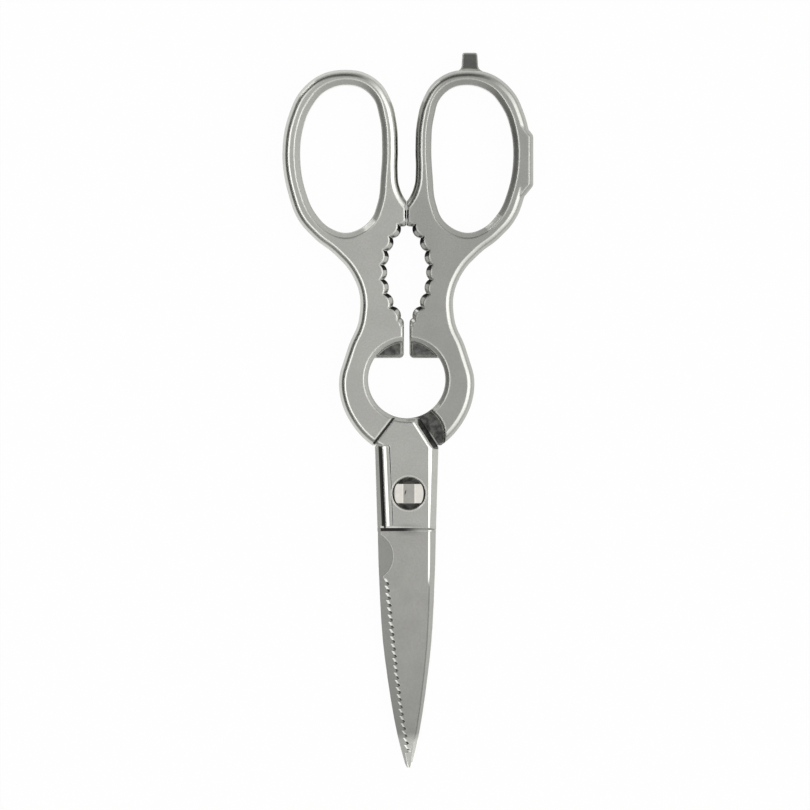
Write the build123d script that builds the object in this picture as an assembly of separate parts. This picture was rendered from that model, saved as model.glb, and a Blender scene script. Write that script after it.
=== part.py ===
from build123d import *
import math
import os

# Kitchen shears forged from two halves that turn on a bayonet stud and come apart at right angles.
# Millimetres. X runs to the right, Y from the tips to the finger loops, Z up from the table.
# The pivot axis is X = 0, Y = 0, and the shears lie closed on the rear half's pivot plate.
# Each half is drawn with its handle to the right, its blade plate below Z = 0 and the pivot beside
# X = 0 at a small offset, because the handles' centre line runs past the pivot and not through it.

# Reach of the whole tool from the pivot axis, and the offset of the handles' centre line
handle_reach = 121.4
blade_reach = 78.6
loop_span = 35.6
centre_offset = 0.63

# Thickness of each half at the pivot; a handle is as thick as both, so it lies flush with them
plate_thickness = 4.4
handle_thickness = 2 * plate_thickness
handle_level = handle_thickness / 2
mating_gap = 0.06
closing_gap = 0.1
rim_crown_width = 1.9
rim_crown_depth = 0.45
rim_bevel = 0.9
cut_overrun = 2.0
same_level = 0.001

# Finger hole, an egg shape that leaves a limb of a set width on each side of the loop
outer_limb_width = 5.05
inner_limb_width = 4.17
top_limb_width = 4.3
loop_inner_share = 0.081
hole_bottom_share = 0.6153
hole_inner_out = loop_inner_share * loop_span + inner_limb_width
hole_half_width = (loop_span - outer_limb_width - hole_inner_out) / 2
hole_centre_out = hole_inner_out + hole_half_width
hole_half_length = (handle_reach * (1 - hole_bottom_share) - top_limb_width) / 2
hole_centre_up = handle_reach - top_limb_width - hole_half_length
hole_bevel_width = 1.5
hole_bevel_depth = 1.15

# Scalloped jaw between the handles, which grips nuts and screw caps
jaw_radius = 20.0
jaw_half_width = 6.57
jaw_foot_out = 1.71
jaw_centre_back = jaw_radius - jaw_half_width
jaw_centre_share = 0.5222
jaw_centre_up = jaw_centre_share * handle_reach
tooth_height = 0.92
teeth_above_middle = 4
teeth_below_middle = 3
tooth_step = math.acos((jaw_centre_back + jaw_foot_out) / jaw_radius) / (teeth_below_middle + 1 / 2)
jaw_end_radius = 1.6
jaw_bevel_width = 1.3
jaw_bevel_depth = 1.1
slit_width = 1.6
slit_bevel = 0.5

# Cap lifter: a round opening with two thin lips at its top
opener_radius = 11.08
opener_centre_share = 0.2691
opener_centre_up = opener_centre_share * handle_reach
opener_bevel_width = 1.1
opener_bevel_depth = 0.85
lip_rise = 6.15
lip_edge_up = opener_centre_up + lip_rise
lip_thickness = 2.2
lip_corner_radius = 1.3
lip_bevel = 0.6

# Pivot plate of each half
plate_top_share = 0.1771
plate_top_up = plate_top_share * handle_reach
plate_top_half = 3.85
plate_corner_share = 0.1096
plate_corner_up = plate_corner_share * handle_reach
plate_spine_side = 9.1
plate_spine_lean = 0.72
plate_edge_side = 7.75
plate_edge_lean = 1.2
plate_edge_share = 0.1392
plate_edge_top = plate_edge_share * handle_reach
plate_bottom_down = 9.85
plate_spine_bevel = 1.8
plate_edge_bevel = 1.0
plate_edge_drop = 0.55
plate_top_bevel = 1.0
ledge_width = 1.65
ledge_depth = 0.15
crease_width = 0.8
crease_depth = 0.45
step_radius = 1.0

# Handle's lowest corner, and the arched shoulder where it drops to half thickness beside the other
# half's plate: shares of loop_span out from the centre line and of handle_reach up from the pivot
handle_corner_out_share = 0.2753
handle_corner_up_share = 0.1137
handle_corner_out = handle_corner_out_share * loop_span
handle_corner_up = handle_corner_up_share * handle_reach
shoulder_shares = [
    (0.2191, 0.1928),
    (0.3034, 0.1549),
    (0.2921, 0.1104),
]

# Blades
blade_root_thickness = 2.9
blade_tip_thickness = 1.3
edge_root_thickness = 1.3
edge_tip_thickness = 0.7
spine_land = 1.2
spine_bevel_width = 1.85
spine_bevel_limit_share = 0.4
front_edge_reach = 8.2
rear_edge_reach = 7.3
tip_facet_length = 7.2
tip_facet_depth = 0.45

# Bone notch and serrations of the front blade
notch_radius = 7.13
notch_centre_out = 11.54
notch_down = 18.0
notch_bevel = 0.35
serration_start = 24.4
serration_end_share = 0.954
serration_pitch = 2.08
serration_depth = 0.85
serration_tilt = 32.0
serration_valley_share = 0.82

# Bayonet stud, riveted into the rear half
neck_radius = 3.6
shank_radius = 2.8
rivet_radius = 3.7
head_radius = 4.45
head_width = 5.6
head_drop = 0.35
head_crown_radius = 12.0
running_clearance = 0.03
head_clearance = 0.05
slot_clearance = 0.1
counterbore_radius = 4.75
counterbore_rim = 0.4
floor_thickness = 1.6

# Flat lifter tab and hammer boss of the rear handle
tab_out = 18.1
tab_height = 5.0
tab_tip_half = 2.13
tab_root_half = 2.36
tab_root_up = 1.2
tab_flare_width = 1.3
tab_flare_drop = 0.35
tab_flare_radius = 1.8
tab_sink = 2.4
tab_root_thickness = 4.6
tab_tip_thickness = 1.4
tab_corner_radius = 0.7
boss_proud = 0.65
boss_root = 3.0
boss_top_share = 0.8451
boss_bottom_share = 0.7265
boss_slope = 2.6
boss_drop = 2.1
boss_corner_radius = 1.6
boss_bevel = 1.0

# Outer outline of a handle, from the seam up round the loop and down to the pivot plate.
# Each point is a share of loop_span out from the centre line and of handle_reach up from the pivot.
handle_outline_shares = [
    (0.000, 0.689),
    (0.031, 0.703),
    (0.062, 0.727),
    (0.073, 0.766),
    (0.070, 0.810),
    (0.081, 0.873),
    (0.121, 0.923),
    (0.221, 0.971),
    (0.340, 0.993),
    (0.496, 1.000),
    (0.687, 0.989),
    (0.848, 0.952),
    (0.958, 0.885),
    (1.000, 0.801),
    (0.961, 0.716),
    (0.861, 0.641),
    (0.744, 0.603),
    (0.581, 0.565),
    (0.462, 0.527),
    (0.379, 0.470),
    (0.382, 0.414),
    (0.478, 0.339),
    (0.545, 0.255),
    (0.515, 0.207),
    (0.450, 0.168),
    (0.352, 0.132),
]

# Finger hole, as shares of its half width and half length
hole_outline_shares = [
    (-0.12, 1.0),
    (0.345, 0.93),
    (0.774, 0.656),
    (0.953, 0.358),
    (1.0, 0.03),
    (0.90, -0.373),
    (0.613, -0.748),
    (0.30, -0.925),
    (-0.12, -1.0),
    (-0.46, -0.945),
    (-0.75, -0.80),
    (-0.89, -0.60),
    (-0.971, -0.208),
    (-1.0, 0.118),
    (-0.942, 0.547),
    (-0.779, 0.821),
    (-0.50, 0.957),
]

# Blade plan: share of the blade's reach, share of the spine's reach, share of the edge's reach
blade_section_shares = [
    (0.115, 0.927, 1.000),
    (0.190, 0.910, 0.965),
    (0.308, 0.879, 0.890),
    (0.424, 0.835, 0.770),
    (0.541, 0.766, 0.650),
    (0.656, 0.650, 0.530),
    (0.774, 0.505, 0.385),
    (0.860, 0.375, 0.265),
    (0.930, 0.240, 0.150),
    (0.970, 0.150, 0.085),
    (0.990, 0.100, 0.055),
    (1.000, 0.050, 0.020),
]

quarter_turn = 90.0
half_turn = 180.0


def through_point(before, point, after):
    """Direction, at a point, of the circle through it and its two neighbours."""
    back = point - before
    ahead = after - point
    return (back * (ahead.length / back.length) + ahead * (back.length / ahead.length)).normalized()


def mirrored_direction(direction, chord):
    """A direction mirrored about a chord: the other end's tangent when one arc joins both ends."""
    along = chord.normalized()
    return along * (2 * direction.dot(along)) - direction


def arc_pair(start, start_way, end, end_way):
    """Two arcs that leave the start and reach the end in the given ways and meet smoothly."""
    chord = end - start
    both = start_way + end_way
    turn = 1 - start_way.dot(end_way)
    along = chord.dot(both)
    reach = chord.dot(chord) / (along + math.sqrt(along**2 + 2 * turn * chord.dot(chord)))
    meeting = (start + end + (start_way - end_way) * reach) * 0.5
    return [TangentArc(start, meeting, tangent=start_way), TangentArc(end, meeting, tangent=-end_way)]


def smooth_outline(points, closed):
    """Arcs through all the points, tangent to one another, two for each step."""
    places = [Vector(*point) for point in points]
    last = len(places) - 1
    ways = [
        through_point(places[number - 1], places[number], places[(number + 1) % len(places)])
        for number in range(len(places))
    ]
    if not closed:
        ways[0] = mirrored_direction(ways[1], places[1] - places[0])
        ways[last] = mirrored_direction(ways[last - 1], places[last] - places[last - 1])
    arcs = []
    for number in range(len(places) if closed else last):
        after = (number + 1) % len(places)
        arcs += arc_pair(places[number], ways[number], places[after], ways[after])
    return arcs


def boss():
    """Flat-sided boss on the loop's outer side, bevelled on the sides that stand clear of it."""
    inner = loop_span - boss_root
    outer = loop_span + boss_proud
    top = boss_top_share * handle_reach
    bottom = boss_bottom_share * handle_reach
    widening = boss_slope * (outer - inner) / boss_drop
    corners = [(inner, bottom - widening), (outer, bottom), (outer, top), (inner, top + widening)]
    plan = make_face(Polyline(*corners, close=True))
    plan = fillet(plan.vertices().sort_by(Axis.X)[-2:], boss_corner_radius)
    block = extrude(plan, amount=handle_level, both=True)
    for side in (1, -1):
        broad = block.faces().sort_by(Axis.Z)[-1 if side > 0 else 0]
        block = chamfer(broad.edges().sort_by(Axis.X)[1:], boss_bevel)
    return block


def handle_face():
    """The handle's plan before its openings, to the right of the centre line."""
    points = [(out * loop_span, up * handle_reach) for out, up in handle_outline_shares]
    corner = (handle_corner_out, handle_corner_up)
    foot = (0, handle_corner_up)
    arcs = smooth_outline([*points, corner], closed=False)
    return make_face([*arcs, Line(corner, foot), Line(foot, points[0])])


def hole_face():
    points = [
        (hole_centre_out + out * hole_half_width, hole_centre_up + up * hole_half_length)
        for out, up in hole_outline_shares
    ]
    return make_face(smooth_outline(points, closed=True))


def on_closing_line(edge):
    """Whether an edge only closes the plan, along the centre line or under the pivot plate."""
    return edge.geom_type == GeomType.LINE and edge.center().X < handle_corner_out


def handle_blank():
    """The forged handle: its rim falls off gently, then steeply, and its finger hole is bevelled."""
    blank = extrude(handle_face() - hole_face(), amount=handle_level, both=True)
    for side in (1, -1):
        broad = blank.faces().sort_by(Axis.Z)[-1 if side > 0 else 0]
        hole_edges = broad.inner_wires()[0].edges()
        blank = chamfer(hole_edges, hole_bevel_width, hole_bevel_depth, reference=broad)
        broad = blank.faces().sort_by(Axis.Z)[-1 if side > 0 else 0]
        rim = [edge for edge in broad.outer_wire().edges() if not on_closing_line(edge)]
        blank = chamfer(rim, rim_crown_width, rim_crown_depth, reference=broad)
        level = side * (handle_level - rim_crown_depth)
        low_rim = blank.edges().filter_by_position(Axis.Z, level - same_level, level + same_level)
        blank = chamfer(low_rim, rim_bevel)
    return blank


def tall_cylinder(radius, out, up):
    return Pos(out, up, 0) * Cylinder(radius, 2 * handle_thickness)


def jaw_outline(growth):
    """Scalloped edge of the jaw's hollow, grown about the jaw's centre and closed past the centre line."""
    middle = Vector(-jaw_centre_back, jaw_centre_up)

    def on_arc(radius, count):
        turned = tooth_step * count
        return middle + Vector(math.cos(turned), math.sin(turned)) * radius * growth

    tip_radius = jaw_radius * math.cos(tooth_step / 2) - tooth_height
    teeth = [
        ThreePointArc(
            on_arc(jaw_radius, number - 1 / 2),
            on_arc(tip_radius, number),
            on_arc(jaw_radius, number + 1 / 2),
        )
        for number in range(-teeth_below_middle, teeth_above_middle + 1)
    ]
    lowest = on_arc(jaw_radius, -teeth_below_middle - 1 / 2)
    highest = on_arc(jaw_radius, teeth_above_middle + 1 / 2)
    slit = middle + (Vector(slit_width / 2, jaw_centre_up) - middle) * growth
    sideways = slit.X + jaw_end_radius * growth - lowest.X
    drop = math.sqrt((jaw_end_radius * growth) ** 2 - sideways**2)
    end = Vector(slit.X, lowest.Y - drop)
    high_corner = Vector(middle.X, highest.Y)
    low_corner = Vector(middle.X, end.Y)
    closing = [Line(highest, high_corner), Line(high_corner, low_corner), Line(low_corner, end)]
    return make_face([*teeth, *closing, TangentArc(end, lowest, tangent=(0, 1))])


def jaw_cut():
    """What is cut away between the jaws: a scalloped hollow that widens at both faces."""
    rise = jaw_bevel_depth + cut_overrun
    growth = 1 + jaw_bevel_width / jaw_radius * rise / jaw_bevel_depth
    hollow = extrude(jaw_outline(1), amount=handle_thickness, both=True)
    narrow = Pos(0, 0, handle_level - jaw_bevel_depth) * jaw_outline(1)
    wide = Pos(0, 0, handle_level + cut_overrun) * jaw_outline(growth)
    flare = loft([narrow, wide], ruled=True)
    return hollow + flare + mirror(flare, about=Plane.XY)


def groove(width, low, high):
    """A straight gap along the centre line with a flare at both faces of the handle."""
    half = width / 2
    foot = handle_level - slit_bevel
    top = handle_level + cut_overrun
    flare = half + slit_bevel + cut_overrun
    section = Polyline(
        (-half, -foot),
        (-flare, -top),
        (flare, -top),
        (half, -foot),
        (half, foot),
        (flare, top),
        (-flare, top),
        (-half, foot),
        close=True,
    )
    face = Plane(origin=(0, high, 0), x_dir=(1, 0, 0), z_dir=(0, -1, 0)) * make_face(section)
    return extrude(face, amount=high - low)


def lip():
    """Thin lip of the cap lifter, left standing at the top of the round opening."""
    reach = opener_radius + cut_overrun
    top = opener_centre_up + reach
    corners = [(slit_width / 2, lip_edge_up), (reach, lip_edge_up), (reach, top), (slit_width / 2, top)]
    plan = make_face(Polyline(*corners, close=True))
    inner_corner = plan.vertices().sort_by(Axis.X)[:2].sort_by(Axis.Y)[0]
    plan = fillet(inner_corner, lip_corner_radius)
    solid = extrude(plan, amount=lip_thickness / 2, both=True)
    rim = [
        edge
        for face in (solid.faces().sort_by(Axis.Z)[0], solid.faces().sort_by(Axis.Z)[-1])
        for edge in face.edges()
        if edge.center().X < opener_radius and edge.center().Y < opener_centre_up + opener_radius
    ]
    return chamfer(rim, lip_bevel)


def opener_cut():
    """Round opening below the lips, a recess over each face of the lips, and a bevel all round."""
    opening = tall_cylinder(opener_radius, 0, opener_centre_up) - lip()
    rise = opener_bevel_depth + cut_overrun
    growth = opener_bevel_width * rise / opener_bevel_depth
    for side in (1, -1):
        cone = Cone(opener_radius, opener_radius + growth, rise)
        if side < 0:
            cone = Rot(half_turn, 0, 0) * cone
        opening += Pos(0, opener_centre_up, side * (handle_level - opener_bevel_depth + rise / 2)) * cone
    return opening


def shoulder_cut():
    """Clears the handle's inner half where the other half's plate lies, up to an arched shoulder."""
    start, middle, end = [(out * loop_span, up * handle_reach) for out, up in shoulder_shares]
    low_right = (end[0], end[1] - cut_overrun)
    low_left = (-cut_overrun, end[1] - cut_overrun)
    high_left = (-cut_overrun, opener_centre_up)
    region = make_face(
        [
            ThreePointArc(start, middle, end),
            Line(end, low_right),
            Line(low_right, low_left),
            Line(low_left, high_left),
            Line(high_left, start),
        ]
    )
    return extrude(Pos(0, 0, -mating_gap / 2) * region, amount=handle_thickness)


def handle():
    """One handle to the right of the centre line, with its inner half cleared near the pivot."""
    forged = handle_blank()
    forged -= jaw_cut()
    forged -= opener_cut()
    forged -= groove(slit_width, opener_centre_up, jaw_centre_up)
    forged -= groove(closing_gap, jaw_centre_up, handle_reach)
    return forged - shoulder_cut()


def plate():
    """Pivot plate: a flat land, a broad bevel on the spine's side and narrow ones elsewhere."""
    low = -plate_bottom_down - step_radius
    outline = Polyline(
        (plate_top_half, plate_top_up),
        (-plate_top_half, plate_top_up),
        (-plate_spine_side, plate_corner_up),
        (-plate_spine_side + plate_spine_lean, low),
        (plate_edge_side - plate_edge_lean, low),
        (plate_edge_side, plate_edge_top),
        close=True,
    )
    slab = extrude(Pos(0, 0, -mating_gap / 2) * make_face(outline), amount=mating_gap / 2 - plate_thickness)
    land = slab.faces().sort_by(Axis.Z)[0]
    corner_middle = (plate_top_half + plate_spine_side) / 2
    spine_edges = [edge for edge in land.edges() if edge.center().X < plate_spine_lean - corner_middle]
    slab = chamfer(spine_edges, plate_spine_bevel, blade_root_thickness - spine_land, reference=land)
    land = slab.faces().sort_by(Axis.Z)[0]
    slab = chamfer(land.edges().sort_by(Axis.Y)[-1], plate_top_bevel)
    land = slab.faces().sort_by(Axis.Z)[0]
    slab = chamfer(land.edges().sort_by(Axis.X)[-1], plate_edge_bevel, plate_edge_drop, reference=land)
    ramp = Rot(0, quarter_turn, 0) * Cylinder(step_radius, 4 * plate_spine_side)
    above = Pos(0, 0, -plate_thickness / 2) * Box(4 * plate_spine_side, 2 * step_radius, plate_thickness)
    return slab - Pos(0, low, -blade_root_thickness - step_radius) * (ramp + above)


def ledge_cut():
    """Shallow ledge along the plate's edge side, between its land and the bevel there."""
    top_in = plate_edge_side - plate_edge_bevel - ledge_width
    corners = [
        (top_in, handle_corner_up),
        (plate_edge_side, handle_corner_up),
        (plate_edge_side, -plate_bottom_down),
        (top_in - plate_edge_lean, -plate_bottom_down),
    ]
    region = Pos(0, 0, ledge_depth - plate_thickness) * make_face(Polyline(*corners, close=True))
    return extrude(region, amount=-cut_overrun)


def crease_cut():
    """V-shaped crease across the outer face, where the ring ends and the pivot plate begins."""
    start = Vector(plate_top_half, plate_top_up, -handle_level)
    end = Vector(handle_corner_out, handle_corner_up, -handle_level)
    along = (end - start).normalized()
    mouth = crease_width / 2 * (1 + cut_overrun / crease_depth)
    section = Polyline((-mouth, cut_overrun), (mouth, cut_overrun), (0, -crease_depth), close=True)
    across = Plane(origin=start - along * cut_overrun, x_dir=(along.Y, -along.X, 0), z_dir=tuple(along))
    return extrude(across * make_face(section), amount=(end - start).length + 2 * cut_overrun)


def thickness_at(share):
    """Blade thickness beside its spine and along its edge, at a share of the blade's reach."""
    thick = blade_root_thickness + (blade_tip_thickness - blade_root_thickness) * share
    thin = edge_root_thickness + (edge_tip_thickness - edge_root_thickness) * share
    return thick, thin


def edge_line(down, reach):
    """How far a blade's cutting edge stands from the pivot line, at a distance below the pivot."""
    share = down / blade_reach
    stations = [(0, 1)] + [(row[0], row[2]) for row in blade_section_shares] + [(1, 0)]
    for (low, low_out), (high, high_out) in zip(stations, stations[1:]):
        if share <= high:
            return reach * (low_out + (high_out - low_out) * (share - low) / (high - low))
    return 0


def blade(pivot_out, edge_reach):
    """Blade lofted through its sections: flat inside, thin at the edge, bevelled along the spine."""
    spine_reach = plate_spine_side + pivot_out
    sections = []
    for down_share, spine_share, edge_share in blade_section_shares:
        spine = pivot_out - spine_reach * spine_share
        edge = pivot_out + edge_reach * edge_share
        thick, thin = thickness_at(down_share)
        slimming = thick / blade_root_thickness
        bevel = min(spine_bevel_width * slimming, (edge - spine) * spine_bevel_limit_share)
        section = Polyline(
            (spine, -mating_gap / 2),
            (edge, -mating_gap / 2),
            (edge, -thin),
            (spine + bevel, -thick),
            (spine, -spine_land * slimming),
            close=True,
        )
        station = Plane(origin=(0, -down_share * blade_reach, 0), x_dir=(1, 0, 0), z_dir=(0, -1, 0))
        sections.append(station * make_face(section))
    return split(loft(sections), bisect_by=tip_facet(), keep=Keep.BOTTOM)


def tip_facet():
    """Plane that grinds the blade's outer face a little thinner towards the tip."""
    thick, _ = thickness_at(1 - tip_facet_length / blade_reach)
    slope = math.atan2(tip_facet_depth + thick - blade_tip_thickness, tip_facet_length)
    start = (0, tip_facet_length - blade_reach, -thick)
    return Plane(origin=start, x_dir=(1, 0, 0), z_dir=(0, -math.sin(slope), -math.cos(slope)))


def notch_cut(pivot_out):
    """Round notch at the blade's heel for holding a bone, with a narrow bevel on the outer face."""
    thick, thin = thickness_at(notch_down / blade_reach)
    run = plate_spine_side + front_edge_reach
    lean = math.degrees(math.atan2(thick - thin, run))
    level = thin + (thick - thin) * notch_radius / run
    rise = notch_bevel + cut_overrun
    cone = Rot(half_turn, 0, 0) * Cone(notch_radius, notch_radius + rise, rise)
    rim = Rot(0, -lean, 0) * Pos(0, 0, notch_bevel - rise / 2) * cone
    at = Pos(pivot_out + notch_centre_out, -notch_down, 0)
    return at * (Cylinder(notch_radius, 2 * plate_thickness) + Pos(0, 0, -level) * rim)


def serration_cut(pivot_out, edge_reach):
    """Saw teeth ground aslant through the blade's edge, so that their facets face outward."""
    points = []
    top = serration_start
    while top + serration_pitch < serration_end_share * blade_reach:
        deep = top + serration_valley_share * serration_pitch
        points.append((pivot_out + edge_line(top, edge_reach), -top))
        points.append((pivot_out + edge_line(deep, edge_reach) - serration_depth, -deep))
        top += serration_pitch
    clear = pivot_out + edge_reach + cut_overrun
    points.append((pivot_out + edge_line(top, edge_reach), -top))
    points.append((clear, -top))
    points.append((clear, -serration_start))
    grinding = Vector(-math.tan(math.radians(serration_tilt)), 0, -1).normalized()
    saw = make_face(Polyline(*points, close=True))
    return extrude(saw, amount=plate_thickness / -grinding.Z, dir=tuple(grinding))


def tab():
    """Flat lifter tab: a wedge in side view, flared in plan where it grows out of the loop."""
    top = handle_reach + tab_height
    root = handle_reach + tab_root_up
    flare_end = handle_reach - tab_flare_drop
    sunk = handle_reach - tab_sink
    wide = tab_root_half + tab_flare_width
    plan = make_face(
        [
            Line((-tab_tip_half, top), (tab_tip_half, top)),
            Line((tab_tip_half, top), (tab_root_half, root)),
            RadiusArc((tab_root_half, root), (wide, flare_end), -tab_flare_radius),
            Line((wide, flare_end), (wide, sunk)),
            Line((wide, sunk), (-wide, sunk)),
            Line((-wide, sunk), (-wide, flare_end)),
            RadiusArc((-wide, flare_end), (-tab_root_half, root), -tab_flare_radius),
            Line((-tab_root_half, root), (-tab_tip_half, top)),
        ]
    )
    plan = fillet(plan.vertices().sort_by(Axis.Y)[-2:], tab_corner_radius)
    slab = extrude(plan, amount=tab_root_thickness, both=True)
    wedge = Polyline(
        (sunk, tab_root_thickness / 2),
        (handle_reach, tab_root_thickness / 2),
        (top, tab_tip_thickness / 2),
        (top, -tab_tip_thickness / 2),
        (handle_reach, -tab_root_thickness / 2),
        (sunk, -tab_root_thickness / 2),
        close=True,
    )
    side = Plane(origin=(-wide, 0, 0), x_dir=(0, 1, 0), z_dir=(1, 0, 0)) * make_face(wedge)
    return Pos(tab_out, 0, 0) * (slab & extrude(side, amount=2 * wide))


def bayonet_cut(pivot_out):
    """Counterbore for the stud's head, over a floor bored for its neck and slotted for its head."""
    floor = mating_gap / 2 + floor_thickness
    depth = plate_thickness + cut_overrun - floor
    bore = Pos(0, 0, -floor - depth / 2) * Cylinder(counterbore_radius, depth)
    rise = counterbore_rim + cut_overrun
    cone = Rot(half_turn, 0, 0) * Cone(counterbore_radius, counterbore_radius + rise, rise)
    rim = Pos(0, 0, counterbore_rim - plate_thickness - rise / 2) * cone
    through = 2 * floor + cut_overrun
    neck = Cylinder(neck_radius + running_clearance, through)
    slot_width = head_width + 2 * slot_clearance
    round_slot = Cylinder(head_radius + slot_clearance, through)
    slot = round_slot & Box(slot_width, 4 * head_radius, 2 * through)
    return Pos(pivot_out, 0, 0) * (bore + rim + neck + slot)


def rivet_cut(pivot_out):
    """Bore for the stud's shank, countersunk at the back for its peened end."""
    sink = rivet_radius - shank_radius
    shank = Pos(pivot_out, 0, 0) * Cylinder(shank_radius, 4 * plate_thickness)
    cone = Pos(pivot_out, 0, -plate_thickness + sink / 2) * Cone(rivet_radius, shank_radius, sink)
    return shank + cone


def pivot_stud():
    """Stud with a peened foot, a round neck and a crowned bar head that locks over the front half."""
    sink = rivet_radius - shank_radius
    seat = plate_thickness - mating_gap / 2
    head_bottom = plate_thickness + mating_gap / 2 + floor_thickness + head_clearance
    head_top = 2 * plate_thickness - head_drop
    foot = Pos(0, 0, sink / 2) * Cone(rivet_radius, shank_radius, sink)
    shank = Pos(0, 0, seat / 2) * Cylinder(shank_radius, seat)
    neck = Pos(0, 0, (seat + head_bottom) / 2) * Cylinder(neck_radius, head_bottom - seat)
    round_head = Pos(0, 0, (head_bottom + head_top) / 2) * Cylinder(head_radius, head_top - head_bottom)
    bar = round_head & Pos(0, 0, plate_thickness) * Box(4 * head_radius, head_width, 4 * plate_thickness)
    crown = Rot(quarter_turn, 0, 0) * Cylinder(head_crown_radius, 4 * head_radius)
    return foot + shank + neck + (bar & Pos(0, 0, head_top - head_crown_radius) * crown)


def rear_half():
    """The right handle with its tab and boss, its pivot plate and the plain rear blade."""
    half = handle() + boss() + tab() + plate() + blade(centre_offset, rear_edge_reach)
    half -= ledge_cut()
    half -= crease_cut()
    half -= rivet_cut(centre_offset)
    return Pos(-centre_offset, 0, plate_thickness) * half


def front_half():
    """The left handle, the slotted pivot plate and the notched, serrated front blade."""
    half = handle() + plate() + blade(-centre_offset, front_edge_reach)
    half -= ledge_cut()
    half -= crease_cut()
    half -= notch_cut(-centre_offset)
    half -= serration_cut(-centre_offset, front_edge_reach)
    half -= bayonet_cut(-centre_offset)
    return Pos(-centre_offset, 0, plate_thickness) * Rot(0, half_turn, 0) * half


os.makedirs("parts", exist_ok=True)
pieces = {"front_half": front_half(), "rear_half": rear_half(), "pivot_stud": pivot_stud()}
for name, piece in pieces.items():
    export_step(piece, f"parts/{name}.step")
    print(name, "volume", round(piece.volume), "mm3, faces", len(piece.faces()))
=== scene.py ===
# %% [markdown]
# # All-steel kitchen shears
# Two forged halves turn on a bayonet stud and lift apart at right angles. Their shapes come ready
# made from the CAD frame, so this lesson is about metal: how a satin face, a ground blade, a
# polished edge, a sooty corner and a mirror-bright stud each get their look from a few shader
# nodes, and how a studio has to be built so that plain steel is readable.

# %% Load the frame
import math

import bpy
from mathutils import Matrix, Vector


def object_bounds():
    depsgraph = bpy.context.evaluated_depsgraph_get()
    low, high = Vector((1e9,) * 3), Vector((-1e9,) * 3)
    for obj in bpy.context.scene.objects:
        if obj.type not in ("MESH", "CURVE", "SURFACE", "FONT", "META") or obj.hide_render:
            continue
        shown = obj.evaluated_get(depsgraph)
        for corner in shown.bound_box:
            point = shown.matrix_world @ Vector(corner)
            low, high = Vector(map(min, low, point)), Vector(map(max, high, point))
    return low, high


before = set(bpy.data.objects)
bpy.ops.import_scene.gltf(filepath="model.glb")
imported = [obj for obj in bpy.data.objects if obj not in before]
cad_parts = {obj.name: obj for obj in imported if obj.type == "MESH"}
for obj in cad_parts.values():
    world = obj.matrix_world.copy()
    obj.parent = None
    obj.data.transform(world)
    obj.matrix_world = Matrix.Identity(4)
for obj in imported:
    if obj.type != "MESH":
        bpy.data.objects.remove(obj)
cad_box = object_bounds()
front_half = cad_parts["front_half"]
rear_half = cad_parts["rear_half"]
pivot_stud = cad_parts["pivot_stud"]
mm = 0.001
outer_height = cad_box[1][2] / mm
mating_height = outer_height / 2
blade_reach = -cad_box[0][1] / mm
print("CAD box in mm:", [[round(value / mm, 1) for value in corner] for corner in cad_box])

# %% [markdown]
# ## A small toolkit for shader nodes
# Every finish below is a chain of nodes, and a chain set up by hand takes three lines a node. These
# helpers make a node, set its options, and fill or link its sockets in one line. Sockets are named
# by their label, or by their number where several share one label.

# %% Node helpers
soft_border = 0.1


def add_node(tree, kind, inputs=None, **options):
    """Adds a shader node, sets its options, and fills or links its inputs."""
    node = tree.nodes.new(kind)
    for option, value in options.items():
        setattr(node, option, value)
    for socket, value in (inputs or {}).items():
        if isinstance(value, bpy.types.NodeSocket):
            tree.links.new(value, node.inputs[socket])
        else:
            node.inputs[socket].default_value = value
    return node


def number(tree, operation, *values):
    """The result of one Math node."""
    return add_node(tree, "ShaderNodeMath", dict(enumerate(values)), operation=operation).outputs[0]


def product(tree, first, *others):
    """Several numbers multiplied: a place counts only where all of its masks are one."""
    for value in others:
        first = number(tree, "MULTIPLY", first, value)
    return first


def most(tree, first, *others):
    """The largest of several numbers: a place counts where any of its masks is one."""
    for value in others:
        first = number(tree, "MAXIMUM", first, value)
    return first


def less(tree, value, taken):
    """A value with another one taken away."""
    return number(tree, "SUBTRACT", value, taken)


def eased(tree, value, low, high, to_low=0.0, to_high=1.0):
    """Eases a value from one range into another, and holds it outside."""
    sockets = {"Value": value, "From Min": low, "From Max": high, "To Min": to_low, "To Max": to_high}
    return add_node(tree, "ShaderNodeMapRange", sockets, interpolation_type="SMOOTHSTEP").outputs[0]


def inside(tree, value, limits, soft=soft_border):
    """One between two limits and zero outside, with soft borders."""
    low, high = limits
    rise = eased(tree, value, low - soft, low)
    fall = eased(tree, value, high, high + soft, 1.0, 0.0)
    return product(tree, rise, fall)


def blended(tree, share, first, second):
    """A number that goes from the first value to the second as the share grows."""
    return add_node(tree, "ShaderNodeMix", {0: share, 2: first, 3: second}).outputs[0]


def curve(tree, value, stops):
    """A number read off a ramp, whose stops are pairs of place and level."""
    node = add_node(tree, "ShaderNodeValToRGB", {0: value})
    elements = node.color_ramp.elements
    while len(elements) < len(stops):
        elements.new(1.0)
    for element, (place, level) in zip(elements, stops):
        element.position = place
        element.color = (level, level, level, 1.0)
    return node.outputs[0]


def noise(tree, place, size, detail=2.0, stretch=(1.0, 1.0, 1.0)):
    """Noise of a given size in millimetres, from zero to one, drawn out along the axes."""
    sockets = {"Vector": place, "Scale": [1 / share for share in stretch]}
    scaled = add_node(tree, "ShaderNodeMapping", sockets)
    sockets = {"Vector": scaled.outputs[0], "Scale": 1 / size, "Detail": detail}
    return add_node(tree, "ShaderNodeTexNoise", sockets).outputs[0]


def varied(tree, texture, amount):
    """A factor round one that follows a noise, up and down by an amount."""
    return eased(tree, texture, 0.3, 0.7, 1.0 - amount, 1.0 + amount)


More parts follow.
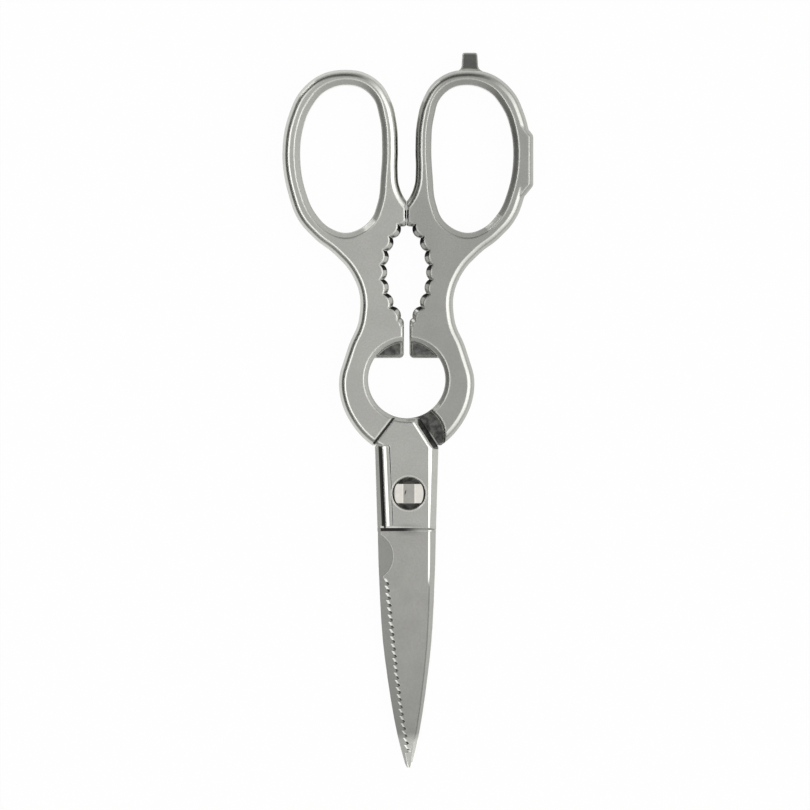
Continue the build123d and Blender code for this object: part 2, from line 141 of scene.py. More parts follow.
def new_material(name):
    """An empty material and its node tree."""
    material = bpy.data.materials.new(name)
    material.use_nodes = True
    material.node_tree.nodes.clear()
    return material, material.node_tree


print("node helpers ready")

# %% [markdown]
# ## Places on the steel
# The finish changes along a half: the blade is ground, the handle is tumbled, and some corners stay
# dull. Each such area is found by its place in the piece's own space, in millimetres from the
# pivot, so it stays put when the shears open. X runs across the tool, Y along it towards the loops,
# and Z up from the table. The handles are drawn from a line a little to the left of the pivot, and
# a half's own side is the side of that line on which its handle lies.

# %% Places on a half
handle_line = -0.63
plate_corner = (3.85, 21.5)
front_hand = -1.0
rear_hand = 1.0


class Spot:
    """Where a shaded point lies on its piece, in millimetres."""

    def __init__(self, tree, hand=front_hand):
        place = add_node(tree, "ShaderNodeTexCoord").outputs["Object"]
        sockets = {0: place, "Scale": 1 / mm}
        self.place = add_node(tree, "ShaderNodeVectorMath", sockets, operation="SCALE").outputs[0]
        split = add_node(tree, "ShaderNodeSeparateXYZ", {0: self.place})
        self.across, self.along, self.height = split.outputs
        self.from_line = less(tree, self.across, handle_line)
        self.sideways = number(tree, "ABSOLUTE", self.from_line)
        self.own_side = product(tree, self.from_line, hand)
        self.over_middle = less(tree, self.height, mating_height)
        self.from_middle = number(tree, "ABSOLUTE", self.over_middle)


def distance_from(tree, across, along, centre):
    """Distance in plan from a point."""
    far_across = number(tree, "POWER", less(tree, across, centre[0]), 2.0)
    far_along = number(tree, "POWER", less(tree, along, centre[1]), 2.0)
    return number(tree, "SQRT", number(tree, "ADD", far_across, far_along))


def slant_distance(tree, sideways, along, way):
    """Distance in plan from a slanted line through the plate's top corner that faces a way."""
    aside = product(tree, less(tree, sideways, plate_corner[0]), way[0])
    return number(tree, "MULTIPLY_ADD", less(tree, along, plate_corner[1]), way[1], aside)


print("middle plane at", round(mating_height, 2), "mm, tips", round(blade_reach, 1), "mm down")

# %% [markdown]
# ## Hollows with dull skin and painted shade
# On the real shears a polishing wheel can't get at the faces of the cap lifter's lips, at the
# shoulder where the handle drops beside the other half's plate, or into the stud's recess. They
# keep a dull rough skin, and their dark colour is also painted shade for these hollows. The areas
# could be painted by hand, but limits taken from the drawing are exact and move with nothing. The
# shoulder's mask ends where the other plate covers it, and it leaves out a thin line at that
# plate's foot, which shows as a painted highlight.

# %% Dull skin and painted shade
opener_centre = (handle_line, 32.67)
opener_reach = 11.3
lips_low = 38.4
lips_depth = (1.0, 1.2)
lips_border = 0.02
arch_centre = (2.55, 16.70)
arch_radius = 8.51
arch_border = 0.15
shoulder_low = 12.9
shoulder_border = 0.3
shoulder_in = 3.0
shoulder_depth = 4.0
cover_way = (0.842, 0.539)
cover_border = 1.2
foot_line = (0.05, 0.32)
foot_line_top = 16.5
foot_line_fade = 1.5
counterbore_reach = 4.8
counterbore_rim = 0.5


def lip_faces(tree, spot):
    """One on the recessed faces of the cap lifter's two lips."""
    reach = distance_from(tree, spot.across, spot.along, opener_centre)
    in_opener = eased(tree, reach, opener_reach, opener_reach - 2 * soft_border)
    upper_part = inside(tree, spot.along, (lips_low, opener_centre[1] + opener_reach))
    return product(tree, in_opener, upper_part, inside(tree, spot.from_middle, lips_depth, lips_border))


def shoulder_area(tree, spot, hand):
    """One under the handle's arch, on the floor beside the other plate and on the slanted bevel."""
    reach = distance_from(tree, spot.sideways, spot.along, arch_centre)
    under_arch = eased(tree, reach, arch_radius + arch_border, arch_radius)
    not_outside = eased(tree, spot.from_middle, shoulder_depth + soft_border, shoulder_depth)
    not_middle = eased(tree, spot.sideways, shoulder_in, shoulder_in + 5 * soft_border)
    above = eased(tree, spot.along, shoulder_low - shoulder_border, shoulder_low)

    past_cover = slant_distance(tree, spot.own_side, spot.along, cover_way)
    uncovered = eased(tree, past_cover, foot_line[0] - cover_border, foot_line[0])
    floor_height = product(tree, spot.over_middle, hand)
    on_floor = product(tree, eased(tree, floor_height, -2 * soft_border, -soft_border), uncovered)
    on_bevel = eased(tree, spot.from_middle, 0.8, 1.0)
    own = eased(tree, spot.own_side, -5 * soft_border, 5 * soft_border)
    allowed = blended(tree, own, on_bevel, on_floor)

    # A thin painted highlight at the other plate's foot, left out of the dark skin.
    foot_range = inside(tree, spot.along, (shoulder_low, foot_line_top), foot_line_fade)
    at_foot = product(tree, inside(tree, past_cover, foot_line), foot_range)
    off_foot = less(tree, 1.0, at_foot)
    return product(tree, under_arch, not_outside, not_middle, above, allowed, off_foot)


def stud_recess(tree, spot):
    """One in the counterbore round the stud's head."""
    reach = distance_from(tree, spot.across, spot.along, (0.0, 0.0))
    near_stud = eased(tree, reach, counterbore_reach, counterbore_reach - soft_border)
    depth = (mating_height - soft_border, outer_height - counterbore_rim)
    return product(tree, near_stud, inside(tree, spot.height, depth, soft_border / 2))


def dull_skin_and_shade(tree, spot, hand):
    """One wherever the dull skin is left, its dark colour also painted shade in the hollows."""
    return most(tree, lip_faces(tree, spot), shoulder_area(tree, spot, hand), stud_recess(tree, spot))


print("dull areas: lips, shoulder, stud recess")

# %% [markdown]
# ## Where shade is painted
# Shade is painted dark into the colour in the slanted crease at the end of the ring, in the seam
# along the plate's edge, and on the flank of each jaw tooth that faces the loops. The teeth are
# evenly spaced round a centre, so one mask in the angle round that centre finds them all. The
# curved step below the plate gets a painted shadow with a dark edge that fades to the right.

# %% Lines and corners of painted shade
crease_way = (0.7913, 0.6115)
crease_line = (-0.28, 0.28)
crease_fade = 0.12
crease_depth = (3.6, 3.8)
plate_edge = -6.64
plate_edge_slope = 0.0432
plate_edge_range = (-9.2, 13.4)
range_border = 0.3
plate_bevel = 1.0
seam_line = (-0.5, 0.25)
jaw_centre = (-13.43, 63.4)
tooth_step = 0.2035
wedge_part = (0.68, 0.99)
wedge_fade = 0.08
jaw_reach = (18.6, 22.5)
jaw_turns = (-3.5, 4.5)
step_range = (-10.75, -9.95)
step_fade = 0.15
step_shade_fade = 1.9


def from_plate_edge(tree, spot):
    """Distance to the right of the plate's slightly slanted left edge."""
    return less(tree, spot.across, number(tree, "MULTIPLY_ADD", spot.along, -plate_edge_slope, plate_edge))


def shaded_lines(tree, spot):
    """One where shade is painted in the slanted crease of the outer face and in the seam along the plate's
    edge.
    """
    past_crease = slant_distance(tree, spot.own_side, spot.along, crease_way)
    crease_range = (shoulder_low + 1.0, plate_corner[1])
    crease = product(
        tree,
        inside(tree, past_crease, crease_line, crease_fade),
        eased(tree, spot.from_middle, *crease_depth),
        inside(tree, spot.along, crease_range, 4 * soft_border),
    )
    beside_bevel = number(tree, "ADD", from_plate_edge(tree, spot), plate_bevel)
    seam = product(
        tree,
        inside(tree, beside_bevel, seam_line),
        inside(tree, spot.along, plate_edge_range, range_border),
        eased(tree, spot.over_middle, -2 * soft_border, -soft_border),
    )
    return most(tree, crease, seam)


def jaw_wedges(tree, spot, upright):
    """One where shade is painted on the flank of each jaw tooth that faces the loops."""
    out = less(tree, spot.sideways, jaw_centre[0])
    up = less(tree, spot.along, jaw_centre[1])
    turns = number(tree, "DIVIDE", number(tree, "ARCTAN2", up, out), tooth_step)
    within = number(tree, "FRACT", number(tree, "ADD", turns, 0.5))
    reach = distance_from(tree, spot.sideways, spot.along, jaw_centre)
    return product(
        tree,
        inside(tree, within, wedge_part, wedge_fade),
        inside(tree, reach, jaw_reach),
        inside(tree, turns, jaw_turns, soft_border / 2),
        eased(tree, upright, 0.97, 0.90),
    )


def step_shadow(tree, spot):
    """One on the curved step below the plate's land, and faintly round its middle."""
    ramp = product(
        tree,
        inside(tree, spot.along, step_range, step_fade),
        eased(tree, spot.across, 4.5, -2.0),
    )
    middle = eased(tree, number(tree, "ABSOLUTE", spot.across), 5.0, 0.5, 0.0, 0.30)
    round_it = product(tree, inside(tree, spot.along, step_range, step_shade_fade), middle)
    raised = eased(tree, spot.over_middle, 0.5, 1.0)
    return product(tree, most(tree, ramp, round_it), raised)


print("soot in", round(jaw_turns[1] - jaw_turns[0]), "tooth flanks on each side, a crease and a seam")

# %% [markdown]
# ## Marks of the grinding on the front blade
# A blade is ground after forging. Its spine bevel meets the face in a curved line, bright beside
# the plate, and further down a line of painted shade. The saw teeth are cut aslant, and each cut
# shows a bright facet whose end is painted dark as shade. The spine's line is one ramp along the
# blade, in shares of the blade's reach, and the teeth are one mask that repeats with their pitch.

# %% Lines on the blade
spine_scale = 10.0
spine_stops = [
    (0.0, 0.605), (0.308, 0.591), (0.424, 0.566), (0.541, 0.519), (0.656, 0.433),
    (0.774, 0.322), (0.86, 0.221), (0.93, 0.113), (1.0, 0.0),
]
dark_spine = (-0.10, 0.12)
dark_spine_level = 0.5
dark_spine_start = (-22.0, -28.0)
dark_spine_end = (-72.0, -68.0)
facet_levels = (0.38, 0.62)
facet_fade = 0.04
teeth_top = -24.4
tooth_pitch = 2.08
dark_part = (0.50, 0.95)
teeth_end = -74.0
teeth_end_fade = 0.6


def from_spine_line(tree, spot):
    """Distance to the right of the line where the spine's bevel meets the blade's face."""
    line = curve(tree, number(tree, "DIVIDE", spot.along, -blade_reach), spine_stops)
    return less(tree, spot.across, product(tree, line, spine_scale))


def blade_painted_shade(tree, spot, upright, on_blade):
    """One where shade is painted: in the lower line of the spine's bevel and on the dark end of each tooth's
    facet.
    """
    spine = product(
        tree,
        inside(tree, from_spine_line(tree, spot), dark_spine, 0.12),
        eased(tree, spot.along, *dark_spine_start, 0.0, dark_spine_level),
        eased(tree, spot.along, *dark_spine_end),
    )
    pitches = number(tree, "DIVIDE", less(tree, teeth_top, spot.along), tooth_pitch)
    facet = product(
        tree,
        inside(tree, upright, facet_levels, facet_fade),
        inside(tree, number(tree, "FRACT", pitches), dark_part, soft_border / 2),
        on_blade,
    )
    return most(tree, facet, spine)


print("teeth every", tooth_pitch, "mm from", teeth_top, "to", teeth_end)

# %% [markdown]
# ## Edges that are rounder than the drawing
# Hand grinding leaves soft shapes that a CAD solid hasn't got: a rim is rounder than its bevel,
# and thin bright lines run where two ground faces meet. Modelled, they would cost a heavy mesh, so
# here the shading normal is turned instead. A gain above one makes a slope look steeper, a gain
# below one flattens it, and a small tilt over a narrow strip draws a bright line.

# %% Ground edges
rim_gain = 1.75
flat_gain = 0.35
facet_gain = 0.17
notch_gain = 0.28
notch_centre = (-11.54, -18.0)
notch_rim = (7.10, 7.60)
notch_levels = (0.45, 0.97)
line_tilt = 0.27
edge_line = (0.0, 0.60)
line_fade = 0.12
land_line = (1.55, 1.80)
land_tilt = 0.50
spine_bright = (-0.40, 0.40)
spine_bright_end = (-30.0, -22.0)
corner_line = (-2.45, -1.90)
lower_line = (-9.85, -9.50)


def turned_normal(tree, normal, source, target):
    """A normal taken from one space into another."""
    options = {"vector_type": "NORMAL", "convert_from": source, "convert_to": target}
    return add_node(tree, "ShaderNodeVectorTransform", {0: normal}, **options).outputs[0]


def slope_gain(tree, spot, level, on_plate, on_blade, hand):
    """How much steeper or flatter than drawn the steel looks at a place."""
    flattened = eased(tree, level, 0.90, 0.97, 1.0, flat_gain)
    rounded = eased(tree, level, 0.80, 0.93, 1.0, rim_gain)
    if hand == rear_hand:
        return blended(tree, on_blade, blended(tree, on_plate, rounded, 1.0), flattened)

    on_facet = inside(tree, level, facet_levels, facet_fade)
    blade_gain = blended(tree, on_facet, flattened, facet_gain)
    gain = blended(tree, on_blade, blended(tree, on_plate, rounded, flattened), blade_gain)
    notch_reach = distance_from(tree, spot.across, spot.along, notch_centre)
    on_notch = product(
        tree,
        inside(tree, notch_reach, notch_rim, soft_border / 2),
        inside(tree, level, notch_levels, 0.02),
    )
    gain = blended(tree, on_notch, gain, notch_gain)
    at_tip = product(
        tree,
        eased(tree, spot.along, teeth_end + teeth_end_fade, teeth_end),
        eased(tree, from_spine_line(tree, spot), 0.15, -0.05),
    )
    return blended(tree, at_tip, gain, facet_gain)


def bright_lines(tree, spot, upward):
    """Tilts to the right and towards the tips that draw the bright lines of the front half."""
    beside = from_plate_edge(tree, spot)
    edge_range = inside(tree, spot.along, plate_edge_range, range_border)
    edge = product(tree, inside(tree, beside, edge_line, line_fade), edge_range)
    land = product(tree, inside(tree, beside, land_line), edge_range)
    left = number(tree, "MULTIPLY_ADD", land, land_tilt / line_tilt, edge)

    plate_top = plate_edge_range[1]
    spine = product(
        tree,
        inside(tree, from_spine_line(tree, spot), spine_bright, line_fade),
        eased(tree, spot.along, *spine_bright_end),
        eased(tree, spot.along, plate_top + 5 * soft_border, plate_top),
    )
    past_corner = slant_distance(tree, spot.from_line, spot.along, cover_way)
    corner_range = (plate_top, plate_corner[1] - 8 * soft_border)
    corner = product(
        tree,
        inside(tree, past_corner, corner_line),
        inside(tree, spot.along, corner_range, range_border),
    )
    facing_up = eased(tree, upward, 0.90, 0.95)
    strength = product(tree, facing_up, line_tilt)
    to_right = product(tree, less(tree, most(tree, spine, corner), left), strength)
    to_tips = product(
        tree,
        inside(tree, spot.along, lower_line, 0.15),
        eased(tree, spot.across, 5.0, -4.0, 0.35, 0.80),
        strength,
    )
    return to_right, to_tips


def ground_normal(tree, spot, on_plate, on_blade, hand, normal):
    """The shading normal after grinding."""
    split = add_node(tree, "ShaderNodeSeparateXYZ", {0: turned_normal(tree, normal, "WORLD", "OBJECT")})
    right, ahead, upward = split.outputs
    gain = slope_gain(tree, spot, number(tree, "ABSOLUTE", upward), on_plate, on_blade, hand)
    right, ahead = product(tree, right, gain), product(tree, ahead, gain)
    if hand == front_hand:
        to_right, to_tips = bright_lines(tree, spot, upward)
        right, ahead = number(tree, "ADD", right, to_right), less(tree, ahead, to_tips)
    joined = add_node(tree, "ShaderNodeCombineXYZ", {0: right, 1: ahead, 2: upward}).outputs[0]
    back = turned_normal(tree, joined, "OBJECT", "WORLD")
    return add_node(tree, "ShaderNodeVectorMath", {0: back}, operation="NORMALIZE").outputs[0]


print("bright lines lean", round(math.degrees(math.atan(line_tilt))), "degrees")

# %% [markdown]
# ## Satin forged steel
# Stainless steel has a faintly warm grey reflectance, and most else about its look is roughness
# and small relief. Clouds a centimetre wide shift the tone, a mottle and a grain as fine as sand
# break up reflections, and long thin noise stands for grinding lines. The Bevel node rounds every
# corner for the light alone, which is what hand polishing does: a sharp CAD corner would show no
# highlight. Light and shade are also painted into the colour: painted highlights on rims and edges,
# dull skin with painted shade in the hollows, and painted shade in the remaining tight corners,
# which Ambient Occlusion finds. It looks only at the piece itself, so the painted shade stays in a
# corner when the other half has turned away.

# %% Forged steel
steel_tint = (1.0, 0.997, 0.94)
steel_level = 0.60
# Dark level of painted shade, and of the stud's punch stroke.
shade_and_mark_level = 0.05
# Dark colour of the dull skin, which is also painted shade in the hollows.
skin_and_shade_level = 0.10
skin_on_edges = 0.55
skin_patches = 1.5
cloud_size = 7.0
grain_size = 0.16
mottle_size = 0.55
line_size = 0.25
line_stretch = (40.0, 1.0, 1.0)
handle_rounding = 0.85
blade_rounding = 0.14
steel_roughness = 0.15
edge_roughness = 0.10
skin_roughness = 0.42
# Painted highlights: the counterbore's rim and the edges are lifted in colour.
counterbore_highlight = (counterbore_reach, 5.2)
highlight_gain = 1.45
edge_highlight = 0.6
# Reach and openness of the Ambient Occlusion that paints shade into tight corners.
corner_reach = 1.3
corner_openness = (0.18, 0.55)
shade_on_blade = 0.2
relief_strength = 0.35
relief_depth = 0.004
plate_start = (14.0, 12.0)
blade_start = (-9.0, -10.5)
blade_low = -78.0
blade_shades = [(0.0, 0.90), (0.45, 0.84), (0.75, 0.78), (0.88, 0.72), (0.91, 1.2), (1.0, 1.2)]
rear_shade = 0.80


def bare_tone(tree, spot, on_blade, clouds, grain):
    """Brightness of the satin steel round one: darker down the blade and lighter at its tip."""
    shade = curve(tree, number(tree, "DIVIDE", spot.along, blade_low), blade_shades)
    mottle = noise(tree, spot.place, mottle_size, 1.0)
    return product(
        tree,
        blended(tree, on_blade, 1.0, shade),
        eased(tree, clouds, 0.0, 1.0, 0.985, 1.015),
        varied(tree, grain, 0.05),
        varied(tree, mottle, 0.03),
    )


def highlight_share(tree, spot, edge, on_plate):
    """One where a highlight is painted on the counterbore's rim, and a part of one on the edges of plate and
    blade.
    """
    reach = distance_from(tree, spot.across, spot.along, (0.0, 0.0))
    rim_low = outer_height - counterbore_rim
    rim = product(
        tree,
        inside(tree, reach, counterbore_highlight, soft_border / 2),
        eased(tree, spot.height, rim_low, rim_low + soft_border),
    )
    return most(tree, rim, product(tree, edge, on_plate, edge_highlight))


def painted_shade_share(tree, spot, plain, on_blade, hand):
    """One wherever shade is painted: in tight corners, lines and facets."""
    sockets = {"Distance": corner_reach * mm}
    options = {"samples": 6, "only_local": True}
    openness = add_node(tree, "ShaderNodeAmbientOcclusion", sockets, **options).outputs["AO"]
    corners = eased(tree, openness, *corner_openness, 1.0, 0.0)
    corners = product(tree, corners, blended(tree, on_blade, 1.0, shade_on_blade))
    upward = add_node(tree, "ShaderNodeSeparateXYZ", {0: plain}).outputs[2]
    upright = number(tree, "ABSOLUTE", upward)
    painted_shade = most(tree, corners, shaded_lines(tree, spot), jaw_wedges(tree, spot, upright))
    if hand == rear_hand:
        return painted_shade
    painted_shade = most(tree, painted_shade, step_shadow(tree, spot), blade_painted_shade(tree, spot, upright, on_blade))
    return product(tree, painted_shade, eased(tree, spot.along, teeth_end, teeth_end + teeth_end_fade))


def steel_finish(name, shade, hand):
    """Satin steel with clouds, grain and grinding lines, painted highlights on edges and painted shade in
    corners.
    """
    material, tree = new_material(name)
    spot = Spot(tree, hand)
    on_blade = eased(tree, spot.along, *blade_start)
    on_plate = eased(tree, spot.along, *plate_start)

    rounding = blended(tree, on_plate, handle_rounding * mm, blade_rounding * mm)
    rounded = add_node(tree, "ShaderNodeBevel", {"Radius": rounding}, samples=8).outputs[0]
    plain = add_node(tree, "ShaderNodeNewGeometry").outputs["Normal"]
    sockets = {0: rounded, 1: plain}
    facing = add_node(tree, "ShaderNodeVectorMath", sockets, operation="DOT_PRODUCT").outputs[1]
    edge = eased(tree, facing, 0.9995, 0.985)

    clouds = eased(tree, noise(tree, spot.place, cloud_size, 3.0), 0.3, 0.7)
    grain = noise(tree, spot.place, grain_size)
    lines = noise(tree, spot.place, line_size, stretch=line_stretch)
    # Dull skin with painted shade in the hollows, lighter on its edges.
    skin_and_shade = product(tree, dull_skin_and_shade(tree, spot, hand), eased(tree, edge, 0.0, 1.0, 1.0, skin_on_edges))
    patches = varied(tree, noise(tree, spot.place, skin_patches, 3.0), 0.5)

    # The tone, darkened by skin and painted shade, and lifted by painted highlights.
    level = product(
        tree,
        bare_tone(tree, spot, on_blade, clouds, grain),
        blended(tree, skin_and_shade, steel_level * shade, product(tree, patches, skin_and_shade_level)),
        blended(tree, highlight_share(tree, spot, edge, on_plate), 1.0, highlight_gain),
    )
    # Painted shade in corners, lines and facets.
    level = blended(tree, painted_shade_share(tree, spot, plain, on_blade, hand), level, shade_and_mark_level)
    sockets = {0: steel_tint, "Scale": level}
    colour = add_node(tree, "ShaderNodeVectorMath", sockets, operation="SCALE").outputs[0]

    rough = number(tree, "ADD", steel_roughness, eased(tree, clouds, 0.0, 1.0, -0.02, 0.02))
    rough = blended(tree, edge, rough, edge_roughness)
    rough = blended(tree, skin_and_shade, rough, skin_roughness)

    relief = blended(tree, on_plate, grain, blended(tree, 0.5, grain, lines))
    sockets = {
        "Height": relief,
        "Strength": relief_strength,
        "Distance": relief_depth * mm,
        "Normal": ground_normal(tree, spot, on_plate, on_blade, hand, rounded),
    }
    normal = add_node(tree, "ShaderNodeBump", sockets).outputs[0]
    sockets = {"Base Color": colour, "Metallic": 1.0, "Roughness": rough, "Normal": normal}
    surface = add_node(tree, "ShaderNodeBsdfPrincipled", sockets)
    add_node(tree, "ShaderNodeOutputMaterial", {"Surface": surface.outputs[0]})
    return material


front_steel = steel_finish("satin_steel_front", 1.0, front_hand)
rear_steel = steel_finish("satin_steel_rear", rear_shade, rear_hand)
front_half.data.materials[0] = front_steel
rear_half.data.materials[0] = rear_steel
print("halves dressed in", front_steel.name, "and", rear_steel.name)

# %% [markdown]
# ## The bright stud
# The stud's head is turned and buffed to a mirror, then marked with one small punch stroke. On a
# mirror the surroundings do the drawing, so the finish is a low roughness, faint buffing swirls,
# that one dark stroke, and painted light: a lighter tone in the flat middle as a painted reflection
# of the calm grey overhead, and painted shade on the neck and in tight corners.

# %% Stud steel
stud_tint = (1.0, 0.975, 0.90)
stud_level = 0.33
stud_rounding = 0.18
stud_roughness = 0.05
swirl_size = 1.6
swirl_strength = 0.15
swirl_depth = 0.01
middle_reflection_gain = 1.75
middle_border = (1.60, 1.95)
neck_shade_level = 0.10
neck_top = (6.6, 6.2)
stud_corner_reach = 0.8
stud_corner_openness = (0.15, 0.5)
stroke_centre = (-1.0, 0.35)
stroke_half_length = 0.70
stroke_half_width = 0.17
stroke_lean = 0.25
stroke_fade = (1.2, 0.5)
head_crown = (7.6, 7.8)


def punch_stroke(tree, spot):
    """One inside a thin leaning oval on the head."""
    down = less(tree, spot.along, stroke_centre[1])
    aside = less(tree, less(tree, spot.across, stroke_centre[0]), product(tree, down, stroke_lean))
    wide = number(tree, "POWER", number(tree, "DIVIDE", aside, stroke_half_width), 2.0)
    long = number(tree, "POWER", number(tree, "DIVIDE", down, stroke_half_length), 2.0)
    oval = number(tree, "ADD", wide, long)
    return product(tree, eased(tree, oval, *stroke_fade), eased(tree, spot.height, *head_crown))


def stud_finish(name):
    """Mirror steel with faint swirls, one punch stroke in its head, a painted reflection in the middle and
    painted shade on the neck and in corners.
    """
    material, tree = new_material(name)
    spot = Spot(tree)
    rounded = add_node(tree, "ShaderNodeBevel", {"Radius": stud_rounding * mm}, samples=8).outputs[0]
    swirls = noise(tree, spot.place, swirl_size, 3.0)
    from_axis = number(tree, "ABSOLUTE", spot.across)
    # The flat middle is painted lighter, a painted reflection of the grey overhead.
    level = product(
        tree,
        varied(tree, swirls, 0.04),
        eased(tree, from_axis, *middle_border, middle_reflection_gain, 1.0),
        stud_level,
    )
    level = blended(tree, punch_stroke(tree, spot), level, shade_and_mark_level)
    # Painted shade on the neck below the head and in the tight corners.
    level = blended(tree, eased(tree, spot.height, *neck_top), level, neck_shade_level)
    sockets = {"Distance": stud_corner_reach * mm}
    openness = add_node(tree, "ShaderNodeAmbientOcclusion", sockets, samples=6).outputs["AO"]
    level = blended(tree, eased(tree, openness, *stud_corner_openness), shade_and_mark_level, level)
    sockets = {0: stud_tint, "Scale": level}
    colour = add_node(tree, "ShaderNodeVectorMath", sockets, operation="SCALE").outputs[0]
    sockets = {"Height": swirls, "Strength": swirl_strength, "Distance": swirl_depth * mm, "Normal": rounded}
    normal = add_node(tree, "ShaderNodeBump", sockets).outputs[0]
    sockets = {"Base Color": colour, "Metallic": 1.0, "Roughness": stud_roughness, "Normal": normal}
    surface = add_node(tree, "ShaderNodeBsdfPrincipled", sockets)
    add_node(tree, "ShaderNodeOutputMaterial", {"Surface": surface.outputs[0]})
    return material


stud_steel = stud_finish("bright_stud_steel")
pivot_stud.data.materials[0] = stud_steel
print("stud dressed in", stud_steel.name)

# %% [markdown]
# ## The table
# The shears lie on a white table. It is bright to the camera and in reflections, and it still takes
# a soft shadow, because part of it stays an ordinary matt surface.

# %% Table
table_span = 4.0
bright_share = 0.97
matt_white = (0.9, 0.9, 0.9, 1.0)
full_white = (1.0, 1.0, 1.0, 1.0)


def table_material():
    """White table: mostly plain white to the camera and in reflections, and matt for its shadow."""
    material, tree = new_material("white_table")
    matt = add_node(tree, "ShaderNodeBsdfDiffuse", {"Color": matt_white})
    white = add_node(tree, "ShaderNodeEmission", {"Color": full_white, "Strength": 1.0})
    rays = add_node(tree, "ShaderNodeLightPath").outputs
    seen = most(tree, rays["Is Camera Ray"], rays["Is Glossy Ray"], rays["Is Transmission Ray"])
    share = product(tree, seen, bright_share)
    mixed = add_node(tree, "ShaderNodeMixShader", {0: share, 1: matt.outputs[0], 2: white.outputs[0]})
    add_node(tree, "ShaderNodeOutputMaterial", {"Surface": mixed.outputs[0]})
    return material


half_span = table_span / 2
table_height = cad_box[0][2]
corner_signs = ((-1, -1), (1, -1), (1, 1), (-1, 1))
table_corners = [(across * half_span, along * half_span, table_height) for across, along in corner_signs]
table_mesh = bpy.data.meshes.new("table")
table_mesh.from_pydata(table_corners, [], [(0, 1, 2, 3)])
table_mesh.materials.append(table_material())
table = bpy.data.objects.new("table", table_mesh)
bpy.context.scene.collection.objects.link(table)
print("table", table_span, "m wide at height", table_height)

# %% [markdown]
# ## The room
# Polished steel shows the room, not itself, so the room is drawn as a dome whose brightness
# depends on the angle from straight up and on the side. Straight up hangs a calm grey, and the flat
# faces take it. Round it, white on the left and the right, is what every rounded edge catches as a
# white line. Below the white on the left is a dark band, which draws the thin dark line beside it,
# and below that it is light again, for the bevels of the holes. Towards the loops the dome stays
# dark halfway down, which is why the sloped tab looks nearly black.
# Each list goes from straight up, at 0, to the horizon, at 1, in pairs of place and brightness.

# %% Dome
dome_left = [
    (0.0, 0.66), (0.16, 0.60), (0.20, 2.2), (0.41, 2.2),
    (0.47, 0.08), (0.82, 0.08), (0.89, 0.75), (1.0, 0.75),
]
dome_right = [
    (0.0, 0.66), (0.16, 0.62), (0.20, 2.2), (0.58, 2.2),
    (0.65, 0.30), (0.76, 0.30), (0.82, 0.82), (1.0, 0.82),
]
dome_loops = [
    (0.0, 0.66), (0.14, 0.62), (0.30, 0.25), (0.50, 0.10),
    (0.63, 0.20), (0.74, 0.20), (0.82, 0.68), (1.0, 0.68),
]
dome_tips = [
    (0.0, 0.66), (0.15, 0.62), (0.21, 1.1), (0.38, 1.1),
    (0.50, 0.40), (0.70, 0.35), (0.80, 0.58), (1.0, 0.60),
]
least_flat = 1e-8

world = bpy.data.worlds.new("studio")
world.use_nodes = True
tree = world.node_tree
tree.nodes.clear()
direction = add_node(tree, "ShaderNodeTexCoord").outputs["Generated"]
parts = add_node(tree, "ShaderNodeSeparateXYZ", {0: direction}).outputs
from_zenith = number(tree, "ARCCOSINE", most(tree, parts[2], 0.0))
from_zenith = number(tree, "DIVIDE", from_zenith, math.pi / 2)
squares = [number(tree, "POWER", part, 2.0) for part in (parts[0], parts[1])]
flat = number(tree, "SQRT", most(tree, number(tree, "ADD", *squares), least_flat))
brightness = 0.0
sides = ((0, 1.0, dome_right), (0, -1.0, dome_left), (1, 1.0, dome_loops), (1, -1.0, dome_tips))
for axis, sign, stops in sides:
    towards = number(tree, "DIVIDE", product(tree, parts[axis], sign), flat)
    share = number(tree, "POWER", most(tree, towards, 0.0), 2.0)
    brightness = number(tree, "MULTIPLY_ADD", share, curve(tree, from_zenith, stops), brightness)
lit = add_node(tree, "ShaderNodeBackground", {"Color": full_white, "Strength": brightness})
plain_white = add_node(tree, "ShaderNodeBackground", {"Color": full_white, "Strength": 1.0})
seen = add_node(tree, "ShaderNodeLightPath").outputs["Is Camera Ray"]
shown = add_node(tree, "ShaderNodeMixShader", {0: seen, 1: lit.outputs[0], 2: plain_white.outputs[0]})
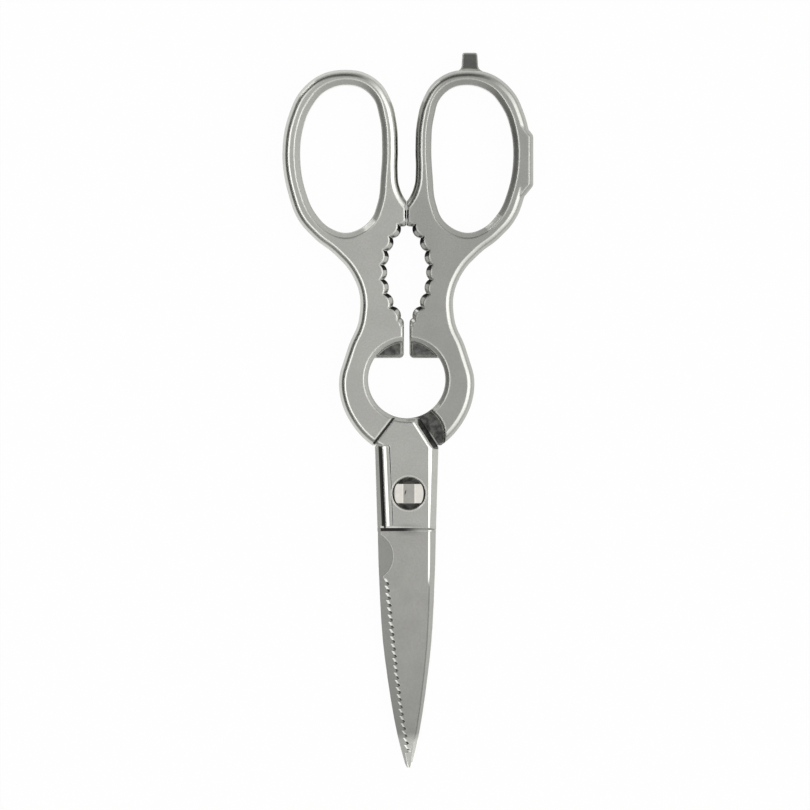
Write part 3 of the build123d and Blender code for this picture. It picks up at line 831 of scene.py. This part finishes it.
add_node(tree, "ShaderNodeOutputWorld", {"Surface": shown.outputs[0]})
bpy.context.scene.world = world
bpy.context.scene.view_settings.view_transform = "Standard"
print("dome with", len(sides), "sides")

# %% [markdown]
# ## One softbox
# A low softbox beyond the left loop puts the hard white glints on the bevels that face it, and
# gives the table its faint shadow.

# %% Softbox
softbox_size = (0.4, 0.2)
softbox_strength = 1.2
softbox_distance = 1.2
softbox_azimuth = math.radians(132)
softbox_height = math.radians(9)
aim = Vector((0.0, 0.025, 0.004))


def softbox(name, centre, target, size, strength):
    """A rectangular lamp that faces a target point, as bright all over as the strength."""
    lamp = bpy.data.lights.new(name, "AREA")
    lamp.shape = "RECTANGLE"
    lamp.size, lamp.size_y = size
    lamp.energy = strength * size[0] * size[1] * math.pi
    holder = bpy.data.objects.new(name, lamp)
    holder.location = centre
    holder.rotation_euler = (target - centre).to_track_quat("-Z", "Y").to_euler()
    bpy.context.scene.collection.objects.link(holder)
    return holder


level_share = math.cos(softbox_height)
key_way = Vector((
    math.cos(softbox_azimuth) * level_share,
    math.sin(softbox_azimuth) * level_share,
    math.sin(softbox_height),
))
key = softbox("key_softbox", aim + key_way * softbox_distance, aim, softbox_size, softbox_strength)
print("key softbox at", [round(value, 2) for value in key.location])

# %% [markdown]
# ## Camera
# The photograph looks straight down with a long lens. Its scale and the pixel over the pivot place
# the camera, so that the render lies over the photograph: the tool is 205 mm long, and 716 pixels.

# %% Camera
photo_side = 810
pixel = 205.0 / 716.0 * mm
pivot_pixel = (408.9, 493.6)
camera_distance = 2.2
sensor_width = 36.0
camera_data = bpy.data.cameras.new("camera")
camera_data.sensor_width = sensor_width
camera_data.lens = sensor_width * camera_distance / (photo_side * pixel)
camera = bpy.data.objects.new("camera", camera_data)
camera.location = (
    (photo_side / 2 - pivot_pixel[0]) * pixel,
    (pivot_pixel[1] - photo_side / 2) * pixel,
    cad_box[1][2] + camera_distance,
)
bpy.context.scene.collection.objects.link(camera)
bpy.context.scene.camera = camera
print("lens", round(camera_data.lens), "mm")
